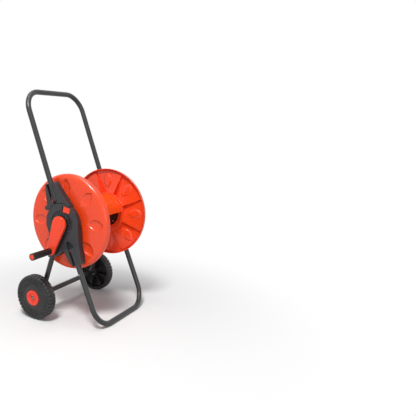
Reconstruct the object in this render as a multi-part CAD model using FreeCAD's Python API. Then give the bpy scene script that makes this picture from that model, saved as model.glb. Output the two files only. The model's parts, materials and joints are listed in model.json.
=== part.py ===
"""Garden hose reel cart, built piece by piece in millimetres.

X runs along the reel's axle, with the crank on the -X side. Y runs from the foot bar (-Y) to the
wheels and handle (+Y). Z is up and the floor is z = 0. Every piece is drawn about the reel's
middle plane and reel axle, and is moved to the shared origin only when it is written out.
Most pieces are drawn for the +X side, where "out" is the distance from the middle plane.
"""
import FreeCAD
import Part
import math
import os
from FreeCAD import Vector

# ---- overall layout -------------------------------------------------------------------------
AXLE_HEIGHT = 366.0        # reel axle above the floor
FRAME_HALF = 153.7         # middle plane to the centre of each frame tube
TUBE_OD = 19.0
TUBE_WALL = 1.2
HANDLE_TOP = 817.7         # height of the handle bar's centre
HANDLE_LEAN = 20.67        # degrees from upright
HANDLE_OFFSET = 4.8        # where the handle line passes the axle height, along Y
HANDLE_BEND = 72.0
HANDLE_END = 88.0          # lower tube end, above the axle
FOOT_LEAN = 22.85
FOOT_OFFSET = -2.9
FOOT_BEND = 74.0
FOOT_END = -84.0           # upper tube end, below the axle
STRUT_TOP_Y = 8.15         # where the strut line passes the axle height
STRUT_END = -98.0          # upper strut end, below the axle

# ---- wheels and their axle ------------------------------------------------------------------
WHEEL_RADIUS = 82.8
WHEEL_WIDTH = 37.2
WHEEL_Y = 106.85
WHEEL_GAP = 3.2            # strut tube's outer side to the wheel's inner side
WHEEL_WALL = 4.0
TYRE_SHOULDER = 9.0
TREAD_BLOCKS = 36
TREAD_DEPTH = 2.6
TREAD_GROOVE = 3.4
TREAD_LENGTH = 13.0        # length of a groove across the tread, from each side
WHEEL_RIBS = 8
WHEEL_HUB_RADIUS = 15.0
WHEEL_COLLAR_RADIUS = 33.0
ROD_RADIUS = 5.0
ROD_FIT = 0.05
BUSH_RADIUS = 8.0
CAP_RADIUS = 28.7
CAP_HEIGHT = 6.0
CAP_HOLE = 5.6
CAP_SEAT = 3.0             # how deep the cap sits in the wheel
WASHER_THICKNESS = 1.6
WASHER_RADIUS = 11.0
PUSH_NUT_RADIUS = 10.0
PUSH_NUT_THICKNESS = 2.0

# ---- side brackets --------------------------------------------------------------------------
BRACKET_OUT = 164.5        # outer face of the bracket
BRACKET_IN = 141.0         # inner face
BRACKET_SKIN = 3.0
BRACKET_WALL = 2.8
DISC_RADIUS = 70.5
DISC_GAP = 1.8             # gap between the disc and the upper bracket
BEARING_RADIUS = 20.0
BEARING_FIT = 0.06
BEARING_WALL = 7.0
RING_INNER = 31.5
RING_OUTER = 46.5
RING_DEPTH = 3.0
RING_RIBS = 30
CHANNEL_HALF = 13.2
TUBE_FIT = 0.1
TONGUE_THICKNESS = 5.0     # upper bracket's tongue behind the disc
UPPER_TOP = 137.0          # middle of the upper bracket's top edge, above the axle
UPPER_REAR = 17.0          # top edge, rearward from the handle line
UPPER_FRONT = 24.0
UPPER_TOP_SLOPE = 7.0
UPPER_FRONT_FOOT = 64.0    # height of the front edge's lower end
TONGUE_LOW = 40.0
STUB_LENGTH = 9.0          # moulded stub in line with the end of a tube
CHANNEL_REACH = STUB_LENGTH + CHANNEL_HALF + 3.0   # how far the cradle backs the channel past the tube
LUG_Y = 68.0
LUG_Z = 48.6
LUG_RADIUS = 8.0
FRONT_LEG_END = -140.0
FRONT_LEG_HALF = 22.0
FRONT_LEG_OFFSET = -3.5
REAR_LEG_END = -127.0
REAR_LEG_FRONT = 31.0
REAR_LEG_REAR = 11.5
ARCH_Y = -6.0
ARCH_Z = -96.0
OVAL_Y = -35.5
OVAL_Z = -72.3
OVAL_LENGTH = 36.0
OVAL_WIDTH = 19.0
OVAL_DEPTH = 9.0
OVAL_TILT = 30.0

# ---- lock slider ----------------------------------------------------------------------------
LOCK_Y = -22.0
LOCK_Z = 49.6
LOCK_LENGTH = 28.0
LOCK_HEIGHT = 19.0
LOCK_TILT = 11.0
LOCK_TRAVEL = 5.5
LOCK_PROUD = 1.6
LOCK_CLEAR = 0.4

# ---- reel -----------------------------------------------------------------------------------
FLANGE_RADIUS = 170.0
FLANGE_OUT = 134.0         # outer face of the flange
FLANGE_WALL = 2.6
FLANGE_SHOULDER = 14.0
RIM_DEPTH = 20.0
BORE_IN_FLANGE = 30.0
HUB_RING_INNER = 57.0
HUB_RING_OUTER = 78.0
HUB_RING_IN = 108.0        # inner face of the hub ring
BLADES = 8
BLADE_WALL = 2.5
BLADE_OUTER = 155.0
BLADE_PROUD_HUB = 110.0
BLADE_PROUD_RIM = 124.0
BLADE_START = 22.5         # degrees: first proud edge
BLADE_LAP = 0.4            # degrees that a sector's sheet starts behind its step wall
BLADE_SINK = 0.5           # how far a sector's deep end runs into the skin
PETAL_RADIUS = 123.0
PETAL_LONG = 32.0
PETAL_WIDE = 22.0
PETAL_DEEP = 5.0
PETAL_START = 2.0
DRUM_RADIUS = 74.0
DRUM_WALL = 2.5
DRUM_START = 7.0           # degrees above the forward direction
DRUM_SPAN = 90.0
DRUM_LIP = 8.0
HUB_DISC_RADIUS = 54.0
HUB_DISC_THICKNESS = 4.0
JOURNAL_WALL = 5.0
SHOULDER_RADIUS = 26.0
END_PLAY = 0.5

# ---- crank ----------------------------------------------------------------------------------
CRANK_FACE = 184.5         # outer face of the arm
CRANK_THICKNESS = 10.0
CRANK_BACK_THICKNESS = 8.0
CRANK_PLATE_EDGE = 1.6     # how far the back plate stands out round the arm
CRANK_RADIUS = 28.0
CRANK_REACH = 108.0
CRANK_SWING = 21.2         # degrees from straight down, towards +Y, at rest
CRANK_TIP_RADIUS = 15.5
DRIVE_SQUARE = 18.0
DRIVE_LENGTH = 12.0
DRIVE_FIT = 0.1
CRANK_DIMPLES = 4
DIMPLE_RADIUS = 2.3
GRIP_LENGTH = 89.0
GRIP_RADIUS = 12.5
GRIP_BASE_RADIUS = 11.6
GRIP_FLUTES = 20
GRIP_FLUTE = 0.7
GRIP_GAP = 0.8
PIN_RADIUS = 5.0
PIN_FIT = 0.08
GRIP_CAP_RADIUS = 9.5
GRIP_CAP_THICKNESS = 3.0

# ---- water path -----------------------------------------------------------------------------
STEM_RADIUS = 12.0
STEM_FIT = 0.05
STEM_END = 119.0
WATER_BORE = 5.0
NIPPLE_RADIUS = 8.0
NIPPLE_LENGTH = 16.0
COLLAR_RADIUS = 30.0
COLLAR_THICKNESS = 5.0
PIPE_RADIUS = 8.0
PIPE_WALL = 2.0
PIPE_BEND = 20.0
PIPE_TURN_X = 55.0         # where the pipe turns off the axle line
OUTLET_ANGLE = -38.0       # degrees above the forward direction
OUTLET_END = 64.0
PIPE_SOCKET_IN = 98.0      # inner end of the hub's pipe socket
PIPE_SOCKET = 12.0

# ---- fasteners ------------------------------------------------------------------------------
SCREW_RADIUS = 2.0
SCREW_HEAD_RADIUS = 4.0
SCREW_HEAD_HEIGHT = 2.4
SCREW_FIT = 0.05
RIVET_Z = -172.0           # rivet in each foot leg, below the bracket
RIVET_HEAD = 3.4

TUBE_R = TUBE_OD / 2.0
WHEEL_IN = FRAME_HALF + TUBE_R + WHEEL_GAP
WHEEL_OUT = WHEEL_IN + WHEEL_WIDTH
CAP_FACE = WHEEL_OUT - CAP_SEAT + CAP_HEIGHT
JOURNAL_END = BRACKET_OUT + 1.0
CRANK_IN = CRANK_FACE - CRANK_THICKNESS
GRIP_IN = CRANK_FACE + GRIP_GAP
GRIP_OUT = GRIP_IN + GRIP_LENGTH
GRIP_Y = CRANK_REACH * math.sin(math.radians(CRANK_SWING))
GRIP_Z = -CRANK_REACH * math.cos(math.radians(CRANK_SWING))


# ---- small helpers --------------------------------------------------------------------------
def rod(radius, start, end, y=0.0, z=0.0):
    """A cylinder along X, placed by its distance from the middle plane."""
    return Part.makeCylinder(radius, end - start, Vector(start, y, AXLE_HEIGHT + z), Vector(1, 0, 0))


def pipe(outer, inner, start, end, y=0.0, z=0.0):
    """A hollow cylinder along X."""
    return rod(outer, start, end, y, z).cut(rod(inner, start - 1.0, end + 1.0, y, z))


def block(x0, x1, y0, y1, z0, z1):
    """A box given by its limits, with z counted from the axle height."""
    return Part.makeBox(x1 - x0, y1 - y0, z1 - z0, Vector(x0, y0, AXLE_HEIGHT + z0))


def turned(shape, degrees, y=0.0, z=0.0):
    """A copy turned about the X direction, from the forward (-Y) side upwards."""
    copy = shape.copy()
    copy.rotate(Vector(0, y, AXLE_HEIGHT + z), Vector(1, 0, 0), -degrees)
    return copy


def mirrored(shape):
    """The same piece for the -X side."""
    return shape.mirror(Vector(0, 0, 0), Vector(1, 0, 0))


def plate(points, start, end):
    """A flat plate with straight edges, from (y, z) points about the axle."""
    corners = [Vector(start, y, AXLE_HEIGHT + z) for y, z in points]
    face = Part.Face(Part.makePolygon(corners + corners[:1]))
    return face.extrude(Vector(end - start, 0, 0))


def ring_of(profile):
    """A turned part from a closed (out, radius) outline."""
    corners = [Vector(out, 0, AXLE_HEIGHT + radius) for out, radius in profile]
    face = Part.Face(Part.makePolygon(corners + corners[:1]))
    return face.revolve(Vector(0, 0, AXLE_HEIGHT), Vector(1, 0, 0), 360)


def joined(shapes):
    """One solid from pieces that touch or overlap."""
    return shapes[0].fuse(shapes[1:]).removeSplitter()


def handle_y(z):
    """Handle tube centre line, at z above the axle."""
    return HANDLE_OFFSET + z * math.tan(math.radians(HANDLE_LEAN))


def foot_y(z):
    """Foot tube centre line, at z above the axle (z is negative)."""
    return FOOT_OFFSET + z * math.tan(math.radians(FOOT_LEAN))


def strut_y(z):
    """Strut centre line, from the reel axle's height down to the wheel axle."""
    drop = AXLE_HEIGHT - WHEEL_RADIUS
    return STRUT_TOP_Y - z * (WHEEL_Y - STRUT_TOP_Y) / drop


def sloping_rod(radius, line, low, high, out=FRAME_HALF):
    """A straight round bar along one of the three tube lines."""
    start = Vector(out, line(low), AXLE_HEIGHT + low)
    end = Vector(out, line(high), AXLE_HEIGHT + high)
    return Part.makeCylinder(radius, (end - start).Length, start, end - start)


def hoop(line, end_z, bar_z, bend, radius):
    """A U of round bar whose two legs follow a sloping line and whose bar joins them."""
    leg_end = Vector(FRAME_HALF, line(end_z), AXLE_HEIGHT + end_z)
    corner = Vector(FRAME_HALF, line(bar_z), AXLE_HEIGHT + bar_z)
    along = (corner - leg_end).normalize()
    leg_stop = corner - along * bend
    bar_stop = Vector(FRAME_HALF - bend, corner.y, corner.z)
    centre = leg_stop - Vector(bend, 0, 0)
    middle = centre + (along + Vector(1, 0, 0)).normalize() * bend

    def other(point):
        return Vector(-point.x, point.y, point.z)

    edges = [
        Part.LineSegment(leg_end, leg_stop).toShape(),
        Part.Arc(leg_stop, middle, bar_stop).toShape(),
        Part.LineSegment(bar_stop, other(bar_stop)).toShape(),
        Part.Arc(other(bar_stop), other(middle), other(leg_stop)).toShape(),
        Part.LineSegment(other(leg_stop), other(leg_end)).toShape(),
    ]
    path = Part.Wire(edges)
    section = Part.Wire(Part.makeCircle(radius, leg_end, along))
    return path.makePipeShell([section], True, False)


def screw(face, length, y, z):
    """A cross-head screw along X: its head stands on the inner side of a face, its shank goes out."""
    head = rod(SCREW_HEAD_RADIUS, face - SCREW_HEAD_HEIGHT, face, y, z)
    shank = rod(SCREW_RADIUS, face, face + length, y, z)
    half = SCREW_HEAD_RADIUS * 0.6
    top = face - SCREW_HEAD_HEIGHT
    slot = block(top - 1.0, top + 1.2, y - half, y + half, z - 0.5, z + 0.5)
    cross = slot.fuse(turned(slot, 90.0, y, z))
    return head.fuse(shank).removeSplitter().cut(cross)


def screw_hole(face, length, y, z):
    """Room for that screw's shank."""
    return rod(SCREW_RADIUS + SCREW_FIT, face - 1.0, face + length + 0.5, y, z)


def strip(line, low, high, half, start, end):
    """A straight bar of rectangular section along one of the tube lines."""
    rise = high - low
    run = line(high) - line(low)
    length = math.hypot(rise, run)
    side_y = half * rise / length
    side_z = -half * run / length
    return plate([
        (line(low) - side_y, low - side_z),
        (line(low) + side_y, low + side_z),
        (line(high) + side_y, high + side_z),
        (line(high) - side_y, high - side_z),
    ], start, end)


# ---- where the screws go, as (y, z) about the axle ------------------------------------------
JOIN_SCREWS = [(10.0, 58.0), (44.0, 46.0)]
HANDLE_SCREWS = [(handle_y(HANDLE_END + 18.0), HANDLE_END + 18.0)]
FOOT_SCREWS = [(foot_y(FOOT_END - 22.0), FOOT_END - 22.0)]
STRUT_SCREWS = [(strut_y(STRUT_END - 14.0), STRUT_END - 14.0)]
RIVETS = [(foot_y(RIVET_Z), RIVET_Z)]
JOIN_LENGTH = 16.0
TUBE_SCREW_LENGTH = 9.0


# ---- frame tubes ----------------------------------------------------------------------------
def tube(line, end_z, bar_z, bend, holes):
    """A bent tube with the same holes in both legs."""
    outer = hoop(line, end_z, bar_z, bend, TUBE_R)
    inner = hoop(line, end_z, bar_z, bend, TUBE_R - TUBE_WALL)
    return outer.cut([inner] + holes + [mirrored(hole) for hole in holes])


def handle_tube():
    holes = [screw_hole(BRACKET_IN, TUBE_SCREW_LENGTH, y, z) for y, z in HANDLE_SCREWS]
    return tube(handle_y, HANDLE_END, HANDLE_TOP - AXLE_HEIGHT, HANDLE_BEND, holes)


def foot_tube():
    holes = [screw_hole(BRACKET_IN, TUBE_SCREW_LENGTH, y, z) for y, z in FOOT_SCREWS]
    holes += [screw_hole(FRAME_HALF, TUBE_R, y, z) for y, z in RIVETS]
    return tube(foot_y, FOOT_END, TUBE_R - AXLE_HEIGHT, FOOT_BEND, holes)


def strut_tube():
    """A straight tube whose lower end is notched to sit on the axle tube."""
    low = WHEEL_RADIUS - AXLE_HEIGHT
    outer = sloping_rod(TUBE_R, strut_y, low, STRUT_END)
    inner = sloping_rod(TUBE_R - TUBE_WALL, strut_y, low - 5.0, STRUT_END + 5.0)
    notch = rod(TUBE_R + SCREW_FIT, FRAME_HALF - 30.0, FRAME_HALF + 30.0, WHEEL_Y, low)
    holes = [screw_hole(BRACKET_IN, TUBE_SCREW_LENGTH, y, z) for y, z in STRUT_SCREWS]
    return outer.cut([inner, notch] + holes)


def axle_tube():
    low = WHEEL_RADIUS - AXLE_HEIGHT
    half = FRAME_HALF + TUBE_R + 0.4
    return pipe(TUBE_R, TUBE_R - TUBE_WALL, -half, half, WHEEL_Y, low)


def axle_rod():
    low = WHEEL_RADIUS - AXLE_HEIGHT
    half = CAP_FACE - 2.0
    return rod(ROD_RADIUS, -half, half, WHEEL_Y, low)


# ---- brackets -------------------------------------------------------------------------------
def lock_block(start, end, rear, front, top, bottom):
    """A box lying along the slider's path, about the slider's rest position."""
    shape = block(start, end, LOCK_Y - front, LOCK_Y + rear, LOCK_Z - bottom, LOCK_Z + top)
    shape.rotate(Vector(0, LOCK_Y, AXLE_HEIGHT + LOCK_Z), Vector(1, 0, 0), LOCK_TILT)
    return shape


def lock_window(clear):
    """The opening that the slider runs in."""
    long = LOCK_LENGTH / 2.0 + clear
    tall = LOCK_HEIGHT / 2.0 + clear
    return lock_block(BRACKET_IN - 1.0, BRACKET_OUT + 1.0, long + LOCK_TRAVEL, long, tall, tall)


def front_leg_points(inset=0.0):
    """Outline of the leg that holds the foot tube."""
    end = FRONT_LEG_END + inset
    middle = foot_y(end) + FRONT_LEG_OFFSET
    lean = math.radians(FOOT_LEAN)
    reach = FRONT_LEG_HALF - inset
    rise = reach * math.sin(lean)
    side = reach * math.cos(lean)
    return [
        (-DISC_RADIUS + inset, -15.0),
        (-DISC_RADIUS - 1.5 + inset, -52.0),
        (middle - side, end + rise),
        (middle + side, end - rise),
        (ARCH_Y - inset, ARCH_Z + inset),
        (0.0, -10.0),
    ]


def rear_leg_points(inset=0.0):
    """Outline of the leg that covers the strut's upper end."""
    end = REAR_LEG_END + inset
    middle = strut_y(end)
    return [
        (0.0, -10.0),
        (ARCH_Y + inset, ARCH_Z + inset),
        (middle - REAR_LEG_FRONT + inset, end + 5.0),
        (middle + REAR_LEG_REAR - inset, end - 4.0),
        (middle + REAR_LEG_REAR + 3.0 - inset, end + 27.0),
        (DISC_RADIUS - 14.0 - inset, -30.0),
    ]


def upper_points(inset=0.0):
    """Outline of the bracket that holds the handle tube, before the disc is cut out of it."""
    top_y = handle_y(UPPER_TOP)
    front = -DISC_RADIUS / 2.0 + inset
    rear = LUG_Y - 1.5 - inset
    return [
        (top_y + UPPER_REAR - inset, UPPER_TOP - UPPER_TOP_SLOPE - inset),
        (top_y - UPPER_FRONT + inset, UPPER_TOP + UPPER_TOP_SLOPE - inset),
        (front, UPPER_FRONT_FOOT),
        (front, TONGUE_LOW),
        (rear, TONGUE_LOW),
        (rear, LUG_Z + 18.0),
    ]


def channel(line, end, beyond):
    """The open slot round a tube's end: its lower part stays filled by a stub in line with the tube."""
    down = 1.0 if beyond < end else -1.0
    stub = end + down * STUB_LENGTH
    slot = joined([
        strip(line, min(stub, beyond), max(stub, beyond), CHANNEL_HALF, FRAME_HALF, BRACKET_OUT + 1.0),
        rod(CHANNEL_HALF, FRAME_HALF, BRACKET_OUT + 1.0, line(stub), stub),
    ])
    filled = joined([
        sloping_rod(TUBE_R, line, min(stub, end), max(stub, end)),
        Part.makeSphere(TUBE_R, Vector(FRAME_HALF, line(stub), AXLE_HEIGHT + stub)),
    ])
    return slot.cut(filled)


def oval_recess():
    """A blind slot above the front leg."""
    half = (OVAL_LENGTH - OVAL_WIDTH) / 2.0
    start = BRACKET_OUT - OVAL_DEPTH
    shape = joined([
        rod(OVAL_WIDTH / 2.0, start, BRACKET_OUT + 1.0, OVAL_Y - half, OVAL_Z),
        rod(OVAL_WIDTH / 2.0, start, BRACKET_OUT + 1.0, OVAL_Y + half, OVAL_Z),
        block(start, BRACKET_OUT + 1.0, OVAL_Y - half, OVAL_Y + half,
              OVAL_Z - OVAL_WIDTH / 2.0, OVAL_Z + OVAL_WIDTH / 2.0),
    ])
    return turned(shape, -OVAL_TILT, OVAL_Y, OVAL_Z)


def lower_bracket():
    """Hub disc with the two legs: a skin with a wall round it, tube cradles and the bearing."""
    out = BRACKET_OUT
    disc_in = BRACKET_IN + TONGUE_THICKNESS + 0.5
    skin_in = out - BRACKET_SKIN
    thick_in = skin_in - RING_DEPTH - 1.0
    foot_far = FRONT_LEG_END - 40.0
    strut_far = REAR_LEG_END - 40.0
    body = joined([
        rod(DISC_RADIUS, disc_in, out),
        plate(front_leg_points(), BRACKET_IN, out),
        plate(rear_leg_points(), BRACKET_IN, out),
    ])
    hollow = joined([
        rod(DISC_RADIUS - BRACKET_WALL, BRACKET_IN - 1.0, skin_in),
        plate(front_leg_points(BRACKET_WALL), BRACKET_IN - 1.0, skin_in),
        plate(rear_leg_points(BRACKET_WALL), BRACKET_IN - 1.0, skin_in),
    ])
    body = body.cut(hollow)
    envelope = joined([
        plate(front_leg_points(0.5), BRACKET_IN, out - 0.5),
        plate(rear_leg_points(0.5), BRACKET_IN, out - 0.5),
    ])
    oval_floor = rod(OVAL_LENGTH / 2.0 + 3.0, out - OVAL_DEPTH - 2.5, out - 0.5, OVAL_Y, OVAL_Z)
    bar = TUBE_R + BRACKET_WALL + 1.0
    parts = [
        body,
        sloping_rod(bar, foot_y, foot_far, FOOT_END + CHANNEL_REACH).common(envelope),
        sloping_rod(bar, strut_y, strut_far, STRUT_END + 8.0).common(envelope),
        oval_floor.common(envelope),
        rod(RING_OUTER + 3.0, thick_in, out - 0.5),
        rod(BEARING_RADIUS + BEARING_WALL, BRACKET_IN, out),
    ]
    for y, z in JOIN_SCREWS:
        parts.append(rod(5.0, disc_in, out - 1.0, y, z))
    body = joined(parts)
    cuts = [
        rod(BEARING_RADIUS + BEARING_FIT, BRACKET_IN - 1.0, out + 1.0),
        sloping_rod(TUBE_R + TUBE_FIT, foot_y, foot_far, FOOT_END),
        sloping_rod(TUBE_R + TUBE_FIT, strut_y, strut_far, STRUT_END),
        pipe(RING_OUTER, RING_INNER, out - RING_DEPTH, out + 1.0),
        lock_window(LOCK_CLEAR),
        channel(foot_y, FOOT_END, foot_far),
        oval_recess(),
    ]
    for y, z in JOIN_SCREWS:
        cuts.append(screw_hole(BRACKET_IN, JOIN_LENGTH, y, z))
    for y, z in FOOT_SCREWS + STRUT_SCREWS:
        cuts.append(screw_hole(BRACKET_IN, TUBE_SCREW_LENGTH, y, z))
    body = body.cut(cuts)
    rib = block(out - RING_DEPTH - 0.4, out - 0.6, -RING_OUTER - 0.4, -RING_INNER + 0.4, -0.9, 0.9)
    ribs = [turned(rib, index * 360.0 / RING_RIBS) for index in range(RING_RIBS)]
    window = lock_window(3.0)
    ribs = [one for one in ribs if one.distToShape(window)[0] > 0.5]
    return joined([body] + ribs)


def upper_bracket():
    """The handle tube's bracket. A tongue at its foot is screwed behind the hub disc."""
    out = BRACKET_OUT
    tongue_out = BRACKET_IN + TONGUE_THICKNESS
    shape = joined([
        plate(upper_points(), BRACKET_IN, out),
        rod(LUG_RADIUS, BRACKET_IN, out, LUG_Y, LUG_Z),
    ])
    body = shape.cut(rod(DISC_RADIUS + DISC_GAP, tongue_out, out + 1.0))
    hollow = plate(upper_points(BRACKET_WALL), BRACKET_IN - 1.0, out - BRACKET_SKIN)
    hollow = hollow.cut(rod(DISC_RADIUS + DISC_GAP + BRACKET_WALL, BRACKET_IN - 2.0, out))
    body = body.cut(hollow)
    envelope = plate(upper_points(0.5), BRACKET_IN, out - 0.5)
    bar = sloping_rod(TUBE_R + BRACKET_WALL + 1.0, handle_y, HANDLE_END - CHANNEL_REACH, UPPER_TOP + 40.0)
    bar = bar.cut(rod(DISC_RADIUS + DISC_GAP, tongue_out, out + 1.0))
    body = joined([body, bar.common(envelope)])
    cuts = [
        sloping_rod(TUBE_R + TUBE_FIT, handle_y, HANDLE_END, UPPER_TOP + 60.0),
        channel(handle_y, HANDLE_END, UPPER_TOP + 60.0),
        lock_window(2.0),
        rod(LUG_RADIUS - 4.5, BRACKET_IN - 1.0, out - 3.0, LUG_Y, LUG_Z),
    ]
    for y, z in JOIN_SCREWS:
        cuts.append(screw_hole(BRACKET_IN, JOIN_LENGTH, y, z))
    for y, z in HANDLE_SCREWS:
        cuts.append(screw_hole(BRACKET_IN, TUBE_SCREW_LENGTH, y, z))
    return body.cut(cuts)


def lock_slider():
    """The red catch: a square button, with a foot behind the disc that keeps it in."""
    long = LOCK_LENGTH / 2.0
    tall = LOCK_HEIGHT / 2.0
    under = BRACKET_OUT - BRACKET_SKIN - RING_DEPTH - 1.0 - LOCK_CLEAR
    button = lock_block(under - 1.0, BRACKET_OUT + LOCK_PROUD, long, long, tall, tall)
    foot = lock_block(under - 5.0, under, long - 3.0, long - 3.0, tall - 4.0, tall + 7.0)
    return joined([button, foot])


# ---- reel -----------------------------------------------------------------------------------
def flange_shell():
    """The dished outer skin with its rounded shoulder and rim."""
    out = FLANGE_OUT
    turn = out - FLANGE_SHOULDER
    inner = FLANGE_SHOULDER - FLANGE_WALL
    edge = FLANGE_RADIUS - FLANGE_SHOULDER
    half = math.sqrt(0.5)

    def at(x, radius):
        return Vector(x, 0, AXLE_HEIGHT + radius)

    def line(a, b):
        return Part.LineSegment(at(*a), at(*b)).toShape()

    def arc(radius):
        return Part.Arc(at(turn, edge + radius), at(turn + radius * half, edge + radius * half),
                        at(turn + radius, edge)).toShape()

    rim = out - RIM_DEPTH
    skin = out - FLANGE_WALL
    wire = Part.Wire([
        line((skin, BORE_IN_FLANGE), (skin, edge)),
        arc(inner),
        line((turn, edge + inner), (rim, edge + inner)),
        line((rim, edge + inner), (rim, FLANGE_RADIUS)),
        line((rim, FLANGE_RADIUS), (turn, FLANGE_RADIUS)),
        arc(FLANGE_SHOULDER),
        line((out, edge), (out, BORE_IN_FLANGE)),
        line((out, BORE_IN_FLANGE), (skin, BORE_IN_FLANGE)),
    ])
    face = Part.Face(wire)
    return face.revolve(Vector(0, 0, AXLE_HEIGHT), Vector(1, 0, 0), 360)


def blade(start):
    """One of the sloping sectors on the flange's inner face, with the step at its raised edge."""
    steps = 4
    deep = FLANGE_OUT - FLANGE_WALL
    low = deep - BLADE_WALL
    inner = HUB_RING_OUTER - 2.0
    span = 360.0 / BLADES
    fall = span - 3.0 * BLADE_LAP

    def corner(x, radius, degrees):
        angle = math.radians(degrees)
        return Vector(x, -radius * math.cos(angle), AXLE_HEIGHT + radius * math.sin(angle))

    def section(hub_x, rim_x, degrees):
        points = [(hub_x, inner), (rim_x, BLADE_OUTER),
                  (rim_x + BLADE_WALL, BLADE_OUTER), (hub_x + BLADE_WALL, inner)]
        corners = [corner(x, radius, degrees) for x, radius in points]
        return Part.makePolygon(corners + corners[:1])

    sections = []
    for index in range(steps + 1):
        share = index / steps
        hub_x = BLADE_PROUD_HUB + (low - BLADE_PROUD_HUB) * share
        rim_x = BLADE_PROUD_RIM + (low - BLADE_PROUD_RIM) * share
        sections.append(section(hub_x, rim_x, start + BLADE_LAP + fall * share))
    # the sheet meets the skin on a straight line and then runs on inside it, into the next step
    sections.append(section(low + BLADE_SINK, low + BLADE_SINK, start + BLADE_LAP + span))
    sheet = Part.makeLoft(sections, True, True)
    points = [(BLADE_PROUD_HUB, inner), (BLADE_PROUD_RIM, BLADE_OUTER),
              (deep + BLADE_SINK, BLADE_OUTER), (deep + BLADE_SINK, inner)]
    corners = [corner(x, radius, start) for x, radius in points]
    angle = math.radians(start)
    across = Vector(0, math.sin(angle), math.cos(angle)) * BLADE_WALL
    step = Part.Face(Part.makePolygon(corners + corners[:1])).extrude(across)
    return [sheet, step]


def petal(angle, grow):
    """A shallow leaf-shaped hollow as the lower half of a stretched ball."""
    ball = Part.makeSphere(1.0)
    matrix = FreeCAD.Matrix()
    matrix.scale(PETAL_DEEP + grow, PETAL_LONG + grow, PETAL_WIDE + grow)
    ball = ball.transformGeometry(matrix)
    ball.translate(Vector(FLANGE_OUT, -PETAL_RADIUS, AXLE_HEIGHT))
    return turned(ball, angle)


def flange():
    deep = FLANGE_OUT - FLANGE_WALL
    body = joined([
        flange_shell(),
        pipe(HUB_RING_OUTER, HUB_RING_INNER, HUB_RING_IN, HUB_RING_IN + 3.0),
        pipe(HUB_RING_INNER + 2.5, HUB_RING_INNER, HUB_RING_IN, deep + 0.5),
        pipe(HUB_RING_OUTER, HUB_RING_OUTER - 2.5, HUB_RING_IN, deep + 0.5),
    ])
    slope = []
    for index in range(BLADES):
        slope += blade(BLADE_START + index * 360.0 / BLADES)
    body = joined([body] + slope)
    angles = [PETAL_START + index * 360.0 / BLADES for index in range(BLADES)]
    keep = pipe(FLANGE_RADIUS - 8.0, HUB_RING_OUTER, FLANGE_OUT - 20.0, FLANGE_OUT - 1.0)
    body = joined([body] + [petal(angle, FLANGE_WALL).common(keep) for angle in angles])
    body = body.cut([petal(angle, 0.0) for angle in angles])
    pillars = [rod(5.0, HUB_RING_IN + 1.0, deep + 0.5, y, z) for y, z in DRUM_SCREWS]
    body = joined([body] + pillars)
    holes = [screw_hole(HUB_RING_IN, DRUM_SCREW_LENGTH, y, z) for y, z in DRUM_SCREWS]
    holes += [screw_hole(deep - HUB_DISC_THICKNESS, 20.0, y, z) for y, z in HUB_SCREWS]
    return body.cut(holes)


def around(radius, angles):
    """Points on a circle about the axle, with angles counted upwards from the forward side."""
    return [(-radius * math.cos(math.radians(a)), radius * math.sin(math.radians(a))) for a in angles]


DRUM_EDGES = [DRUM_START, DRUM_START + 180.0]
DRUM_SCREW_RADIUS = 67.0
DRUM_TAB_HALF = 7.0
DRUM_TAB_ANGLES = [edge + share * DRUM_SPAN for edge in DRUM_EDGES for share in (0.2, 0.8)]
DRUM_SCREWS = around(DRUM_SCREW_RADIUS, DRUM_TAB_ANGLES)
DRUM_TAB = 4.0
DRUM_SCREW_LENGTH = 12.0
HUB_SCREWS = around(44.0, [30.0, 120.0, 210.0, 300.0])
HUB_SCREW_LENGTH = 5.5


def sector(outer, inner, start, end, first, span):
    """Part of a ring between two angles counted upwards from the forward side."""
    wedge = Part.makeCylinder(outer, end - start, Vector(start, 0, AXLE_HEIGHT), Vector(1, 0, 0), span)
    core = rod(inner, start - 1.0, end + 1.0)
    shape = wedge.cut(core)
    # the cylinder's seam starts on one radius, so its position is read once and turned to "first"
    middle = shape.Solids[0].CenterOfMass
    now = math.degrees(math.atan2(middle.z - AXLE_HEIGHT, -middle.y))
    return turned(shape, first + span / 2.0 - now)


def drum_shell(first):
    """One curved tongue of the drum, with turned-in edges and a screwed tab at each corner."""
    end = HUB_RING_IN
    lip = math.degrees(DRUM_WALL / DRUM_RADIUS)
    pieces = [
        sector(DRUM_RADIUS, DRUM_RADIUS - DRUM_WALL, -end, end, first, DRUM_SPAN),
        sector(DRUM_RADIUS - 0.5, DRUM_RADIUS - DRUM_LIP, -end, end, first, lip),
        sector(DRUM_RADIUS - 0.5, DRUM_RADIUS - DRUM_LIP, -end, end, first + DRUM_SPAN - lip, lip),
        sector(DRUM_RADIUS - 0.5, DRUM_RADIUS - DRUM_LIP, -1.5, 1.5, first, DRUM_SPAN),
    ]
    tabs = []
    holes = []
    for share in (0.2, 0.8):
        angle = first + share * DRUM_SPAN
        y, z = around(DRUM_SCREW_RADIUS, [angle])[0]
        tab = sector(DRUM_RADIUS - 0.5, DRUM_SCREW_RADIUS - 6.0, end - DRUM_TAB, end, angle - 6.5, 13.0)
        hole = screw_hole(end - DRUM_TAB, 10.0, y, z)
        tabs += [tab, mirrored(tab)]
        holes += [hole, mirrored(hole)]
    return joined(pieces + tabs).cut(holes)


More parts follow.
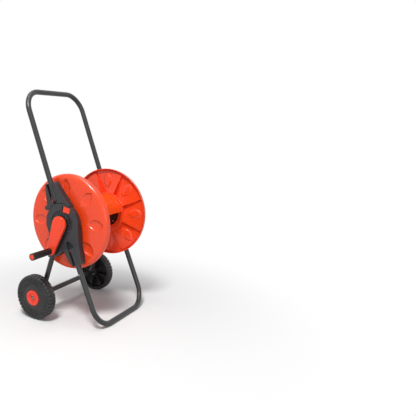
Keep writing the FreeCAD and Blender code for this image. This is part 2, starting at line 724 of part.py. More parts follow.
def hub(crank_side):
    """Black hub: a disc screwed inside the flange, and the hollow journal that the reel turns on."""
    disc_out = FLANGE_OUT - FLANGE_WALL
    disc_in = disc_out - HUB_DISC_THICKNESS
    bearing_end = JOURNAL_END if crank_side else BRACKET_OUT - 1.0
    pieces = [
        rod(HUB_DISC_RADIUS, disc_in, disc_out),
        rod(SHOULDER_RADIUS, disc_in, BRACKET_IN - END_PLAY),
        rod(BEARING_RADIUS, disc_in, bearing_end),
    ]
    if crank_side:
        square = DRIVE_SQUARE / 2.0
        pieces.append(block(bearing_end - 1.0, bearing_end + DRIVE_LENGTH, -square, square, -square, square))
        body = joined(pieces)
        cuts = [
            rod(BEARING_RADIUS - JOURNAL_WALL, disc_in - 1.0, bearing_end - 6.0),
            screw_hole(bearing_end - 6.0, DRIVE_LENGTH + 8.0, 0.0, 0.0),
        ]
    else:
        pieces.append(rod(STEM_RADIUS + 4.0, PIPE_SOCKET_IN, disc_in + 1.0))
        body = joined(pieces)
        cuts = [
            rod(STEM_RADIUS + STEM_FIT, STEM_END - 1.0, bearing_end + 1.0),
            rod(PIPE_RADIUS + STEM_FIT, PIPE_SOCKET_IN - 1.0, PIPE_SOCKET_IN + PIPE_SOCKET),
            rod(WATER_BORE, PIPE_SOCKET_IN, STEM_END),
        ]
    cuts += [screw_hole(disc_in, 20.0, y, z) for y, z in HUB_SCREWS]
    return body.cut(cuts)


# ---- crank ----------------------------------------------------------------------------------
def crank_outline(grow, start, end):
    """The arm's shape: a big round end on the axle and a small one at the grip, joined by tangents."""
    big = CRANK_RADIUS + grow
    small = CRANK_TIP_RADIUS + grow
    sine = (big - small) / CRANK_REACH
    cosine = math.sqrt(1.0 - sine * sine)
    along = (GRIP_Y / CRANK_REACH, GRIP_Z / CRANK_REACH)
    points = []
    for side in (1.0, -1.0):
        normal = (side * along[1] * cosine + along[0] * sine, -side * along[0] * cosine + along[1] * sine)
        ends = [(normal[0] * big, normal[1] * big),
                (GRIP_Y + normal[0] * small, GRIP_Z + normal[1] * small)]
        points += ends if side > 0 else ends[::-1]
    return joined([
        rod(big, start, end),
        rod(small, start, end, GRIP_Y, GRIP_Z),
        plate(points, start, end),
    ])


def drive_socket(start, end):
    half = DRIVE_SQUARE / 2.0 + DRIVE_FIT
    return block(start, end, -half, half, -half, half)


def crank_back():
    """The black plate under the arm."""
    start = CRANK_IN - CRANK_BACK_THICKNESS
    body = crank_outline(CRANK_PLATE_EDGE, start, CRANK_IN)
    pin = rod(PIN_RADIUS + PIN_FIT, CRANK_IN - 5.0, CRANK_IN + 1.0, GRIP_Y, GRIP_Z)
    return body.cut([drive_socket(start - 1.0, CRANK_IN + 1.0), pin])


def crank_arm():
    """The red arm, with four small dimples near its front edge."""
    body = crank_outline(0.0, CRANK_IN, CRANK_FACE)
    rim = [edge for edge in body.Edges if abs(edge.BoundBox.XMin - CRANK_FACE) < 0.01]
    body = body.makeFillet(3.0, rim)
    depth = JOURNAL_END + DRIVE_LENGTH + 0.5
    cuts = [
        drive_socket(CRANK_IN - 1.0, depth),
        screw_hole(depth - 1.0, 4.5, 0.0, 0.0),
        rod(PIN_RADIUS + PIN_FIT, CRANK_IN - 1.0, CRANK_FACE + 1.0, GRIP_Y, GRIP_Z),
    ]
    for y, z in around(CRANK_RADIUS - 8.0, [36.0, 4.0, -28.0, -60.0]):
        cuts.append(rod(DIMPLE_RADIUS, CRANK_FACE - 2.5, CRANK_FACE + 1.0, y, z))
    return body.cut(cuts)


def crank_screw():
    """The long screw inside the journal that draws the arm onto its square."""
    head_face = JOURNAL_END - 6.0
    return screw(head_face, JOURNAL_END + DRIVE_LENGTH + 3.0 - head_face, 0.0, 0.0)


def grip_pin():
    """The pin that the grip turns on, with a head at its outer end."""
    head = GRIP_OUT - GRIP_CAP_THICKNESS - 4.0
    return joined([
        rod(PIN_RADIUS, CRANK_IN - 5.0, head, GRIP_Y, GRIP_Z),
        rod(PIN_RADIUS + 2.0, head, head + 2.0, GRIP_Y, GRIP_Z),
    ])


def grip():
    """The fluted black grip, hollow at its end for the pin's head and the cap."""
    start = Vector(GRIP_IN, GRIP_Y, AXLE_HEIGHT + GRIP_Z)
    length = GRIP_OUT - GRIP_IN
    body = Part.makeCone(GRIP_BASE_RADIUS, GRIP_RADIUS, length, start, Vector(1, 0, 0))
    ends = [edge for edge in body.Edges if edge.Closed]
    body = body.makeFillet(1.2, ends)
    head = GRIP_OUT - GRIP_CAP_THICKNESS - 4.0
    flute = Part.makeCylinder(GRIP_FLUTE, length - 12.0, start + Vector(6.0, 0, GRIP_BASE_RADIUS),
                              Vector(length, 0, GRIP_RADIUS - GRIP_BASE_RADIUS))
    cuts = [turned(flute, index * 360.0 / GRIP_FLUTES, GRIP_Y, GRIP_Z) for index in range(GRIP_FLUTES)]
    cuts.append(rod(PIN_RADIUS + PIN_FIT, GRIP_IN - 1.0, head, GRIP_Y, GRIP_Z))
    cuts.append(rod(PIN_RADIUS + 2.4, head - 0.4, GRIP_OUT - 1.0, GRIP_Y, GRIP_Z))
    cuts.append(rod(GRIP_CAP_RADIUS, GRIP_OUT - GRIP_CAP_THICKNESS, GRIP_OUT + 1.0, GRIP_Y, GRIP_Z))
    return body.cut(cuts)


def grip_cap():
    body = rod(GRIP_CAP_RADIUS - SCREW_FIT, GRIP_OUT - GRIP_CAP_THICKNESS, GRIP_OUT - 0.5, GRIP_Y, GRIP_Z)
    rim = [edge for edge in body.Edges if abs(edge.BoundBox.XMin - GRIP_OUT + 0.5) < 0.01]
    return body.makeFillet(0.8, rim)


# ---- wheels ---------------------------------------------------------------------------------
WHEEL_Z = WHEEL_RADIUS - AXLE_HEIGHT


def wheel():
    """One-piece wheel: treaded tyre, closed outer face, ribbed hollow on the inner side."""
    inside = WHEEL_IN
    out = WHEEL_OUT
    bevel = TYRE_SHOULDER
    r = WHEEL_RADIUS
    solid = ring_of([
        (inside, BUSH_RADIUS), (inside, WHEEL_HUB_RADIUS), (out - WHEEL_WALL - 3.0, WHEEL_HUB_RADIUS + 1.0),
        (out - WHEEL_WALL - 3.0, r - bevel - 8.0), (inside + 1.0, r - bevel - 6.0),
        (inside + 1.0, r - 6.0), (inside + bevel * 0.6, r - 1.0), (inside + bevel + 2.0, r),
        (out - bevel - 2.0, r), (out - bevel * 0.5, r - 1.5), (out - 1.2, r - 6.0),
        (out, r - bevel - 4.0), (out, WHEEL_COLLAR_RADIUS + 3.0), (out - 1.2, WHEEL_COLLAR_RADIUS),
        (out - 1.2, CAP_RADIUS + 0.3), (out - CAP_SEAT, CAP_RADIUS + 0.3),
        (out - CAP_SEAT, PUSH_NUT_RADIUS + 1.0), (out - CAP_SEAT - 2.6, PUSH_NUT_RADIUS + 1.0),
        (out - CAP_SEAT - 2.6, BUSH_RADIUS),
    ])
    solid.translate(Vector(0, WHEEL_Y, WHEEL_Z))
    rib = block(inside + 3.0, out - WHEEL_WALL - 2.0, -(r - bevel - 5.0), -WHEEL_HUB_RADIUS + 1.0, -1.5, 1.5)
    rib.translate(Vector(0, WHEEL_Y, WHEEL_Z))
    ribs = [turned(rib, index * 360.0 / WHEEL_RIBS, WHEEL_Y, WHEEL_Z) for index in range(WHEEL_RIBS)]
    solid = joined([solid] + ribs)
    half = TREAD_GROOVE / 2.0
    grooves = []
    pitch = 360.0 / TREAD_BLOCKS
    for index in range(TREAD_BLOCKS):
        inner = block(inside - 1.0, inside + TREAD_LENGTH, r - TREAD_DEPTH, r + 5.0, -half, half)
        outer = block(out - TREAD_LENGTH, out + 1.0, r - TREAD_DEPTH, r + 5.0, -half, half)
        inner.translate(Vector(0, WHEEL_Y, WHEEL_Z))
        outer.translate(Vector(0, WHEEL_Y, WHEEL_Z))
        grooves.append(turned(inner, (index + 0.5) * pitch, WHEEL_Y, WHEEL_Z))
        grooves.append(turned(outer, index * pitch, WHEEL_Y, WHEEL_Z))
    return solid.cut(grooves)


def wheel_bush():
    return pipe(BUSH_RADIUS - SCREW_FIT, ROD_RADIUS + ROD_FIT, WHEEL_IN, WHEEL_OUT - CAP_SEAT - 2.6,
                WHEEL_Y, WHEEL_Z)


def hub_cap():
    """Red cap over the wheel's centre, a shallow dished ring with a hole."""
    back = WHEEL_OUT - CAP_SEAT
    shape = ring_of([
        (back, CAP_RADIUS), (back, CAP_RADIUS - 2.5), (back + CAP_HEIGHT - 2.6, CAP_RADIUS - 5.0),
        (back + CAP_HEIGHT - 2.6, CAP_HOLE), (back + CAP_HEIGHT - 1.0, CAP_HOLE),
        (back + CAP_HEIGHT - 1.0, 15.0), (back + CAP_HEIGHT, 16.5), (back + CAP_HEIGHT, CAP_RADIUS - 3.5),
        (back + CAP_HEIGHT - 1.5, CAP_RADIUS - 0.8), (back + 1.5, CAP_RADIUS),
    ])
    shape.translate(Vector(0, WHEEL_Y, WHEEL_Z))
    return shape


def both(shape):
    """A left and right pair as one group of separate solids."""
    return Part.makeCompound([mirrored(shape), shape])


def washer():
    start = WHEEL_IN - 0.4 - WASHER_THICKNESS
    return pipe(WASHER_RADIUS, ROD_RADIUS + ROD_FIT, start, WHEEL_IN - 0.4, WHEEL_Y, WHEEL_Z)


def push_nut():
    start = WHEEL_OUT - CAP_SEAT - 2.2
    return pipe(PUSH_NUT_RADIUS, ROD_RADIUS, start, start + PUSH_NUT_THICKNESS, WHEEL_Y, WHEEL_Z)


# ---- water path -----------------------------------------------------------------------------
INLET_SCREWS = around(25.4, [45.0, 165.0, 285.0])
SEAL_PLACES = (136.0, 146.0)
SEAL_THICKNESS = 2.1
SEAL_GROOVE = 2.5


def inlet():
    """The fixed water inlet: a nipple outside the bracket and a stem inside the turning hub."""
    face = BRACKET_OUT
    nipple = face + COLLAR_THICKNESS
    body = joined([
        rod(STEM_RADIUS, STEM_END, face + 1.0),
        rod(COLLAR_RADIUS, face, face + COLLAR_THICKNESS),
        rod(NIPPLE_RADIUS + 3.0, nipple - 1.0, nipple + 6.0),
        rod(NIPPLE_RADIUS, nipple, nipple + 6.0 + NIPPLE_LENGTH),
    ])
    cuts = [rod(WATER_BORE, STEM_END - 1.0, nipple + 30.0)]
    for place in SEAL_PLACES:
        cuts.append(pipe(STEM_RADIUS + 1.0, STEM_RADIUS - SEAL_THICKNESS, place, place + SEAL_GROOVE))
    for y, z in INLET_SCREWS:
        cuts.append(screw_hole(face - 10.0, 30.0, y, z))
    return body.cut(cuts)


def screw_outside(face, length, y, z):
    """The same screw with its head on the outer side."""
    shape = screw(face, length, y, z)
    shape.rotate(Vector(face, y, AXLE_HEIGHT + z), Vector(0, 0, 1), 180)
    return shape


def seals():
    """Two rubber rings round the inlet's stem."""
    thickness = SEAL_THICKNESS / 2.0 - 0.02
    rings = []
    for place in SEAL_PLACES:
        centre = Vector(place + SEAL_GROOVE / 2.0, 0, AXLE_HEIGHT)
        rings.append(Part.makeTorus(STEM_RADIUS - SEAL_THICKNESS / 2.0, thickness, centre, Vector(1, 0, 0)))
    return Part.makeCompound(rings)


OUTLET_WAY = Vector(0, -math.cos(math.radians(OUTLET_ANGLE)), math.sin(math.radians(OUTLET_ANGLE)))
OUTLET_ORIGIN = Vector(PIPE_TURN_X, 0, AXLE_HEIGHT)
OUTLET_OVERLAP = 12.0
PIPE_END = 40.0


def outlet_bar(radius, start, end):
    """A round bar along the outlet's own direction, by distance from the axle."""
    return Part.makeCylinder(radius, end - start, OUTLET_ORIGIN + OUTLET_WAY * start, OUTLET_WAY)


def feed_pipe():
    """The bent pipe inside the drum, from the turning hub to the outlet."""
    start = Vector(PIPE_SOCKET_IN + PIPE_SOCKET, 0, AXLE_HEIGHT)
    turn = OUTLET_ORIGIN + Vector(PIPE_BEND, 0, 0)
    centre = turn + OUTLET_WAY * PIPE_BEND
    leave = OUTLET_ORIGIN + OUTLET_WAY * PIPE_BEND
    middle = centre - (Vector(1, 0, 0) + OUTLET_WAY).normalize() * PIPE_BEND
    path = Part.Wire([
        Part.LineSegment(start, turn).toShape(),
        Part.Arc(turn, middle, leave).toShape(),
        Part.LineSegment(leave, OUTLET_ORIGIN + OUTLET_WAY * PIPE_END).toShape(),
    ])
    shapes = []
    for radius in (PIPE_RADIUS, PIPE_RADIUS - PIPE_WALL):
        section = Part.Wire(Part.makeCircle(radius, start, Vector(1, 0, 0)))
        shapes.append(path.makePipeShell([section], True, False))
    return shapes[0].cut(shapes[1])


def outlet():
    """The nipple in the drum's window that the hose on the reel is joined to."""
    sleeve = PIPE_END - OUTLET_OVERLAP
    body = joined([
        outlet_bar(PIPE_RADIUS + 3.0, sleeve, PIPE_END + 4.0),
        outlet_bar(NIPPLE_RADIUS, PIPE_END, OUTLET_END),
    ])
    return body.cut([outlet_bar(PIPE_RADIUS + STEM_FIT, sleeve - 1.0, PIPE_END),
                     outlet_bar(WATER_BORE, sleeve, OUTLET_END + 1.0)])


def group(shapes):
    """Equal fasteners as one node of separate solids."""
    return Part.makeCompound(shapes)


def rivet(y, z):
    outside = FRAME_HALF + TUBE_R
    return joined([rod(SCREW_RADIUS, outside - 4.0, outside + 0.5, y, z),
                   rod(RIVET_HEAD, outside, outside + 1.4, y, z)])


def axle_plug():
    """Plastic bush in the end of the axle tube that centres the rod."""
    end = FRAME_HALF + TUBE_R + 0.4
    low = WHEEL_RADIUS - AXLE_HEIGHT
    return pipe(TUBE_R - TUBE_WALL - SCREW_FIT, ROD_RADIUS + ROD_FIT, end - 14.0, end, WHEEL_Y, low)


# ---- every piece by name --------------------------------------------------------------------
upper = upper_bracket()
lower = lower_bracket()
side_flange = flange()
side_strut = strut_tube()
side_wheel = wheel()
side_cap = hub_cap()
side_bush = wheel_bush()
join_screws = [screw(BRACKET_IN, JOIN_LENGTH, y, z) for y, z in JOIN_SCREWS]
tube_screws = [screw(BRACKET_IN, TUBE_SCREW_LENGTH, y, z)
               for y, z in HANDLE_SCREWS + FOOT_SCREWS + STRUT_SCREWS]
rivets = [rivet(y, z) for y, z in RIVETS]
disc_in = FLANGE_OUT - FLANGE_WALL - HUB_DISC_THICKNESS
hub_screws = [screw(disc_in, HUB_SCREW_LENGTH, y, z) for y, z in HUB_SCREWS]
drum_screws = [screw(HUB_RING_IN - DRUM_TAB, DRUM_SCREW_LENGTH, y, z) for y, z in DRUM_SCREWS]
inlet_holes = [rod(SCREW_RADIUS + SCREW_FIT, BRACKET_OUT - 6.5, BRACKET_OUT + 1.0, y, z)
               for y, z in INLET_SCREWS]
inlet_screws = [screw_outside(BRACKET_OUT + COLLAR_THICKNESS, COLLAR_THICKNESS + 6.0, y, z)
                for y, z in INLET_SCREWS]

pieces = {
    "handle_tube": handle_tube(),
    "foot_tube": foot_tube(),
    "left_strut_tube": mirrored(side_strut),
    "right_strut_tube": side_strut,
    "axle_tube": axle_tube(),
    "axle_rod": axle_rod(),
    "axle_plugs": both(axle_plug()),
    "left_upper_bracket": mirrored(upper),
    "right_upper_bracket": upper,
    "left_lower_bracket": mirrored(lower),
    "right_lower_bracket": lower.cut(inlet_holes),
    "bracket_screws": group(join_screws + [mirrored(one) for one in join_screws]),
    "tube_screws": group(tube_screws + [mirrored(one) for one in tube_screws]),
    "foot_rivets": group(rivets + [mirrored(one) for one in rivets]),
    "lock_slider": mirrored(lock_slider()),
    "left_flange": mirrored(side_flange),
    "right_flange": side_flange,
    "upper_drum_shell": drum_shell(DRUM_EDGES[0]),
    "lower_drum_shell": drum_shell(DRUM_EDGES[1]),
    "drum_screws": group(drum_screws + [mirrored(one) for one in drum_screws]),
    "crank_hub": mirrored(hub(True)),
    "inlet_hub": hub(False),
    "crank_hub_screws": mirrored(group(hub_screws)),
    "inlet_hub_screws": group(hub_screws),
    "crank_back_plate": mirrored(crank_back()),
    "crank_arm": mirrored(crank_arm()),
    "crank_screw": mirrored(crank_screw()),
    "grip_pin": mirrored(grip_pin()),
    "grip": mirrored(grip()),
    "grip_cap": mirrored(grip_cap()),
    "left_wheel": mirrored(side_wheel),
    "right_wheel": side_wheel,
    "left_hub_cap": mirrored(side_cap),
    "right_hub_cap": side_cap,
    "left_wheel_bush": mirrored(side_bush),
    "right_wheel_bush": side_bush,
    "wheel_washers": both(washer()),
    "push_nuts": both(push_nut()),
    "inlet_connector": inlet(),
    "inlet_screws": group(inlet_screws),
    "stem_seals": seals(),
    "feed_pipe": feed_pipe(),
    "outlet_connector": outlet(),
}

# The shared origin is on the floor, under the middle of everything.
rear = max(WHEEL_Y + WHEEL_RADIUS, handle_y(HANDLE_TOP - AXLE_HEIGHT) + TUBE_R)
front = foot_y(TUBE_R - AXLE_HEIGHT) - TUBE_R
ORIGIN = Vector((CAP_FACE - GRIP_OUT) / 2.0, (rear + front) / 2.0, 0)

os.makedirs("parts", exist_ok=True)
for name, shape in pieces.items():
    placed = shape.copy()
    placed.translate(-ORIGIN)
    placed.exportStep("parts/" + name + ".step")
    print(name, len(placed.Solids), "solids", round(placed.Volume / 1000.0, 2), "cm3", placed.isValid())
print("origin", ORIGIN)
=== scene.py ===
# %% [markdown]
# # A garden hose reel cart
# The cart is a bent steel frame on two wheels that carries a plastic reel between two side
# brackets. Its measured pieces come ready made in one shared frame, in metres, with the floor at
# z = 0. This lesson gives them their finishes, makes the moulded pieces that need finer shapes,
# and lights the whole in a plain studio.

# %% Load the measured pieces
import json
import math

import bmesh
import bpy
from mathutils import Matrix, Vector

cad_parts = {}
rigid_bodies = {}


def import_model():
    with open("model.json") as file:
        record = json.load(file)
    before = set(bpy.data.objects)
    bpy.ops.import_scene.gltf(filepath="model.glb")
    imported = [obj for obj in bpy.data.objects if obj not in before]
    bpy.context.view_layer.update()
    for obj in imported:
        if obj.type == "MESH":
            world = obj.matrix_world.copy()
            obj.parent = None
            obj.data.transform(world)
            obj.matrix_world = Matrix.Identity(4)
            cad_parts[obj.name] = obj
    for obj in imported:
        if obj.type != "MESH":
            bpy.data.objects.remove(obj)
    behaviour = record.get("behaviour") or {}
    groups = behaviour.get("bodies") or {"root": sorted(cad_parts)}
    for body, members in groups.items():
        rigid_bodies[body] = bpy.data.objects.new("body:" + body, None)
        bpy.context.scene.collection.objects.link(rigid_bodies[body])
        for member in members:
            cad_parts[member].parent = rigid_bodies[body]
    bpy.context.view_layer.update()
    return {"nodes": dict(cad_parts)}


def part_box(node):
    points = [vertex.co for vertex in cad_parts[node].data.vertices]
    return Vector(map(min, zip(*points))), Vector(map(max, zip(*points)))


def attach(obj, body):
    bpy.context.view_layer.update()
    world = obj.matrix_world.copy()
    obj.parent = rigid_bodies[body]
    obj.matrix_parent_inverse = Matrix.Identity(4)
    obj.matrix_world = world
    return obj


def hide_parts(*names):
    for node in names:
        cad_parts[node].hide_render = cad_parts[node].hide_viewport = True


for thing in list(bpy.data.objects):
    bpy.data.objects.remove(thing)
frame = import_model()

# %% [markdown]
# Everything on the reel turns about one line, so its middle is read once from a flange. The
# middle plane of the cart lies halfway between the two flanges, and each wheel's axle is the
# middle of its own box.

# %% Find the axle and the middle plane
near_low, near_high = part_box("left_flange")
far_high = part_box("right_flange")[1]
AXLE = Vector(((near_low.x + far_high.x) / 2, (near_low.y + near_high.y) / 2,
               (near_low.z + near_high.z) / 2))
print("reel axle at", [round(value, 4) for value in AXLE])

# %% [markdown]
# A camera belongs to the scene before any piece does, because each finish is judged through it.
# The view comes from the front left, a little above the reel, with a lens near 40 mm. The lens is
# shifted sideways, as on a view camera, so that the cart stands left of the middle.

# %% Place the camera
lens = bpy.data.cameras.new("camera")
lens.sensor_width = 36.0
lens.lens = 39.781
lens.shift_x = 0.2115
lens.shift_y = 0.0048
camera = bpy.data.objects.new("camera", lens)
camera.location = (-1.33299, -1.02127, 0.71312)
camera.rotation_euler = [math.radians(angle) for angle in (79.234, -0.786, -57.266)]
bpy.context.scene.collection.objects.link(camera)
bpy.context.scene.camera = camera
print("camera stands", round((camera.location - AXLE).length, 2), "m from the axle")

# %% [markdown]
# Colours are written as sRGB hex values, the way a paint chart or a web page gives them. Shaders
# work in linear light, so one function turns them over. A second small function adds a node with
# its settings and its links, and every material below is built with it.

# %% Colour and node helpers
def linear(colour):
    """A hex colour such as C04020 as linear red, green, blue and alpha."""
    parts = [int(colour[start:start + 2], 16) / 255 for start in (0, 2, 4)]
    return [part / 12.92 if part <= 0.04045 else ((part + 0.055) / 1.055) ** 2.4
            for part in parts] + [1.0]


def add_node(tree, kind, values=(), links=(), **settings):
    """A new node: settings are its own options, values and links fill its sockets."""
    node = tree.nodes.new(kind)
    for name, value in settings.items():
        setattr(node, name, value)
    for socket, value in dict(values).items():
        node.inputs[socket].default_value = value
    for socket, source in dict(links).items():
        tree.links.new(source, node.inputs[socket])
    return node


MM = 0.001
print("mid grey 808080 is", round(linear("808080")[0], 3), "in linear light")

# %% [markdown]
# Most of the cart is injection moulded: the melt fills a steel mould, so a moulding takes over the
# mould's fine spark-eroded grain and its edges are slightly round. Handling wears the grain away
# first on the edges, which turn paler; on the brackets the pale edges are also a painted highlight
# for the light their rounded edges catch. One recipe holds what all these finishes share: a slow
# drift of colour, a grain in real millimetres, uneven gloss, and pale edges, worn and on the
# brackets also painted highlight, found by comparing the true surface direction with a rounded one.

# %% The moulded surface
def moulded(name, colour, rough, grain, depth, pale_edge_wear_and_highlight, edge_wear_and_highlight_strength=0.5, edge=0.7, coat=0.0, metal=0.0):
    """A moulded or painted finish. grain, depth and edge are in millimetres."""
    finish = bpy.data.materials.new(name)
    finish.use_nodes = True
    tree = finish.node_tree
    tree.nodes.clear()
    place = add_node(tree, "ShaderNodeTexCoord").outputs["Object"]
    drift = add_node(tree, "ShaderNodeTexNoise", {"Scale": 14.0, "Detail": 3.0}, {"Vector": place})
    body = add_node(tree, "ShaderNodeMix",
                    {"A": linear(colour),
                     "B": [part * 0.86 for part in linear(colour)[:3]] + [1.0]},
                    {"Factor": drift.outputs["Fac"]}, data_type="RGBA")
    round_edge = add_node(tree, "ShaderNodeBevel", {"Radius": edge * MM}, samples=6)
    true_way = add_node(tree, "ShaderNodeNewGeometry").outputs["Normal"]
    facing = add_node(tree, "ShaderNodeVectorMath", (), {0: round_edge.outputs[0], 1: true_way},
                      operation="DOT_PRODUCT")
    rubbed = add_node(tree, "ShaderNodeTexNoise", {"Scale": 90.0, "Detail": 4.0}, {"Vector": place})
    # pale edges: real wear on most finishes, and on the brackets also a painted highlight along the
    # rounded edges
    rim = add_node(tree, "ShaderNodeMapRange",
                   {"From Min": 0.985, "From Max": 0.86, "To Min": 0.0, "To Max": edge_wear_and_highlight_strength},
                   {"Value": facing.outputs["Value"]})
    edge_wear_and_highlight_mix = add_node(tree, "ShaderNodeMath", (), {0: rim.outputs[0], 1: rubbed.outputs["Fac"]},
                      operation="MULTIPLY")
    colour_with_worn_and_lit_edges = add_node(tree, "ShaderNodeMix", {"B": linear(pale_edge_wear_and_highlight)},
                     {"Factor": edge_wear_and_highlight_mix.outputs[0], "A": body.outputs["Result"]}, data_type="RGBA")
    gloss = add_node(tree, "ShaderNodeMapRange", {"To Min": rough - 0.06, "To Max": rough + 0.08},
                     {"Value": rubbed.outputs["Fac"]})
    pores = add_node(tree, "ShaderNodeTexNoise", {"Scale": 1.0 / (grain * MM), "Detail": 2.0},
                     {"Vector": place})
    bump = add_node(tree, "ShaderNodeBump", {"Strength": 0.6, "Distance": depth * MM},
                    {"Height": pores.outputs["Fac"], "Normal": round_edge.outputs[0]})
    shader = add_node(tree, "ShaderNodeBsdfPrincipled",
                      {"Metallic": metal, "Coat Weight": coat, "Coat Roughness": 0.12},
                      {"Base Color": colour_with_worn_and_lit_edges.outputs["Result"], "Roughness": gloss.outputs[0],
                       "Normal": bump.outputs[0]})
    add_node(tree, "ShaderNodeOutputMaterial", (), {"Surface": shader.outputs[0]})
    return finish


# %% [markdown]
# Each finish is named for its real material and how it was made.
#
# * The frame is steel tube, powder coated in graphite grey: fairly glossy, with a faint
#   orange peel.
# * Axle rod, washers and push nuts are zinc plated, and the screws are zinc plated too, brighter.
# * Brackets are glass-filled nylon, dark grey and slightly satin.
# * Flanges are orange-red polypropylene with a good gloss, which shows as soft white highlights.
# * The drum's tongues are a more orange batch, and the crank arm and caps are a brighter ABS.
# * Wheels are blow-moulded polyethylene, dull and dark, and the grip is moulded with fine flutes.

# %% Make the finishes
finishes = {
    # powder coat: the melted powder leaves a shallow ripple, so highlights are soft and long
    "tube_paint": moulded("powder_coated_steel", "2A2A2C", 0.30, 2.4, 0.012, "5C5C5E", 0.15, 0.4),
    # zinc plating over turned steel: a metal, greyish and lightly brushed by handling
    "zinc_steel": moulded("zinc_plated_steel", "8E9092", 0.36, 0.5, 0.02, "DADCDD", 0.3, 0.3, 0.0,
                          1.0),
    "screw_steel": moulded("zinc_plated_screws", "C4C5C4", 0.26, 0.4, 0.02, "E4E5E5", 0.3, 0.2,
                           0.0, 1.0),
    # glass-filled nylon: dark, with a satin grain that goes pale where it is knocked; on the
    # brackets the pale edges are also a painted highlight
    "bracket_plastic": moulded("nylon_moulded_graphite", "2B2B2E", 0.36, 0.9, 0.04, "808086", 0.6,
                               0.9),
    "black_plastic": moulded("nylon_moulded_black", "161617", 0.42, 0.9, 0.04, "48484A", 0.4, 0.6),
    # polypropylene: glossy, with colour that stays even through the wall
    "flange_plastic": moulded("polypropylene_moulded_red", "F2461A", 0.25, 2.0, 0.015, "FF8A6C",
                              0.35, 0.9, 0.1),
    "drum_plastic": moulded("polypropylene_moulded_orange", "F6500F", 0.32, 2.0, 0.02, "FF9868",
                            0.35, 0.8),
    # ABS: the brightest red pieces, moulded against a polished steel face
    "crank_plastic": moulded("abs_moulded_red", "FC4012", 0.30, 1.0, 0.015, "FF9A78", 0.4, 0.7,
                             0.1),
    "cap_plastic": moulded("abs_moulded_caps", "F53A18", 0.30, 1.0, 0.015, "FF9A78", 0.4, 0.5, 0.1),
    # polyethylene tyre: waxy and dull, and dusty brown-grey where it is rubbed
    "tyre_plastic": moulded("polyethylene_tyre", "232224", 0.46, 1.4, 0.08, "8A8782", 0.9, 0.7),
    "grip_plastic": moulded("polypropylene_grip", "1A1A1B", 0.36, 0.8, 0.03, "5A5A5C", 0.4, 0.5),
    "seal_rubber": moulded("nitrile_rubber_seal", "161617", 0.60, 0.6, 0.02, "2C2C2E", 0.2, 0.2),
}
print("finishes:", len(finishes))

# %% [markdown]
# The measured pieces are then sorted by finish. Each one is given exactly one material, in place of
# the plain colour that it was loaded with.

# %% Give every piece its finish
made_of = {
    "tube_paint": ["handle_tube", "foot_tube", "left_strut_tube", "right_strut_tube", "axle_tube"],
    "zinc_steel": ["axle_rod", "wheel_washers", "push_nuts", "grip_pin", "foot_rivets"],
    "screw_steel": ["bracket_screws", "tube_screws", "drum_screws", "crank_hub_screws",
                    "inlet_hub_screws", "crank_screw", "inlet_screws"],
    "bracket_plastic": ["left_upper_bracket", "right_upper_bracket", "left_lower_bracket",
                        "right_lower_bracket"],
    "black_plastic": ["axle_plugs", "crank_hub", "inlet_hub", "crank_back_plate", "inlet_connector",
                      "feed_pipe", "outlet_connector", "left_wheel_bush", "right_wheel_bush"],
    "flange_plastic": ["left_flange", "right_flange"],
    "drum_plastic": ["upper_drum_shell", "lower_drum_shell"],
    "crank_plastic": ["crank_arm", "lock_slider"],
    "cap_plastic": ["left_hub_cap", "right_hub_cap", "grip_cap"],
    "tyre_plastic": ["left_wheel", "right_wheel"],
    "grip_plastic": ["grip"],
    "seal_rubber": ["stem_seals"],
}
for finish_name, node_names in made_of.items():
    for node_name in node_names:
        mesh = frame["nodes"][node_name].data
        mesh.materials.clear()
        mesh.materials.append(finishes[finish_name])
bare = set(frame["nodes"]) - {name for names in made_of.values() for name in names}
print("pieces without a finish:", sorted(bare))

# %% [markdown]
# A round moulding is drawn as half of its section and swept about its axle, as on a potter's
# wheel. Each section is a closed loop of points, given by distance from the middle plane and
# distance from the axle, so that the swept skin closes on itself. Sweeping can turn a shape inside
# out, so the face directions are worked out again at the end.

# %% Sweep a section about an axle
def swept(section, axle, side, steps=144):
    """A closed ring from (out, radius) points in millimetres, for the side -1 or +1."""
    shape = bmesh.new()
    rings = []
    for step in range(steps):
        angle = 2 * math.pi * step / steps
        rings.append([shape.verts.new((AXLE.x + side * out * MM,
                                       axle.y + radius * MM * math.cos(angle),
                                       axle.z + radius * MM * math.sin(angle)))
                      for out, radius in section])
    for step in range(steps):
        here, after = rings[step], rings[(step + 1) % steps]
        for index in range(len(section)):
            beyond = (index + 1) % len(section)
            shape.faces.new((here[index], here[beyond], after[beyond], after[index]))
    bmesh.ops.recalc_face_normals(shape, faces=shape.faces)
    return shape


def finished_object(name, shape, finish, body, *stands_for):
    """Turns a bmesh into an object at the origin that rides on a body."""
    mesh = bpy.data.meshes.new(name)
    shape.to_mesh(mesh)
    shape.free()
    mesh.materials.clear()
    mesh.materials.append(finishes[finish])
    thing = bpy.data.objects.new(name, mesh)
    bpy.context.scene.collection.objects.link(thing)
    mesh.shade_smooth()
    mesh.set_sharp_from_angle(angle=math.radians(34))
    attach(thing, body)
    if stands_for:
        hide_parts(*stands_for)
    print(name, len(mesh.polygons), "faces")
    return thing


# %% [markdown]
# A flange is the reel's large end plate. Its outer face is flat with a rounded shoulder, and eight
# leaf-shaped hollows are pressed into it. Its inner face falls in eight sloping sectors, each
# ending in a step, so that a turning reel grips the hose. Both follow a rule that changes with the
# angle, so the skin is drawn column by column, with one closed loop of points in each column.

# %% Leaf hollows and sloping sectors
FLANGE = (near_high.z - near_low.z) / 2 / MM
FACE = (far_high.x - AXLE.x) / MM
LEAVES = 8
LEAF_MIDDLE, LEAF_LONG, LEAF_WIDE, LEAF_DEEP = 123.0, 31.0, 18.5, 5.5
FIRST_LEAF, FIRST_STEP = 2.0, 22.5
TURN = 360.0 / LEAVES


